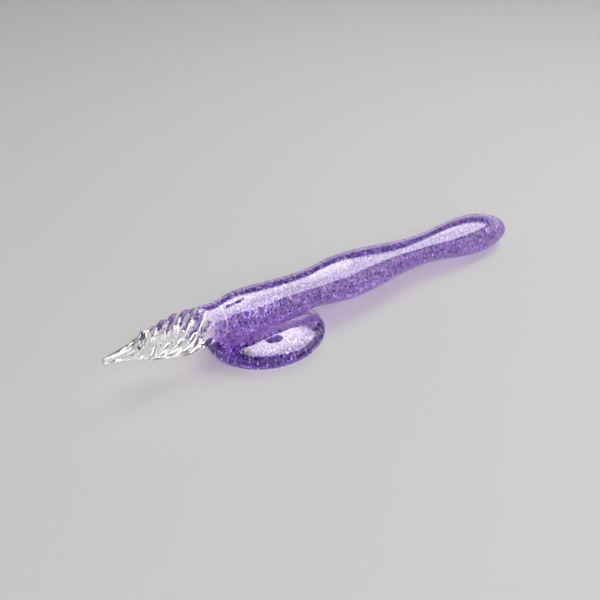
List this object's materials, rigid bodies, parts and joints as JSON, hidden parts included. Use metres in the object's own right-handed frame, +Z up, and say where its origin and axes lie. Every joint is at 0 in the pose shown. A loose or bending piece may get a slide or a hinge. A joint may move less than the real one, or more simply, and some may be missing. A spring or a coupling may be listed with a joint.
{
  "type": "glass dip pen",
  "caption": "Lampworked glass dip pen with a clear twisted fluted nib fused to a swelling cased handle, lying in the groove of an oval cased-glass pen rest.",
  "frame": {"origin": "centre of the pen rest's flat underside, on the table", "axes": "+Z up, +X along the pen from its tip towards its tail, +Y to the side"},
  "size_m": [0.1516, 0.0296, 0.0209],
  "materials": {
    "clear_glass": "polished",
    "purple_glass": "polished, with fine glitter and bubbles inside"
  },
  "bodies": {
    "rest": {"rest_core": "purple_glass", "rest_casing": "clear_glass"},
    "pen": {"nib": "clear_glass", "handle_core": "purple_glass", "handle_casing": "clear_glass"}
  },
  "joints": [
    {"name": "pen_lift", "type": "slide", "parent": "rest", "child": "pen", "axis": [0, 0, 1], "range_m": [0, 0.06]}
  ]
}
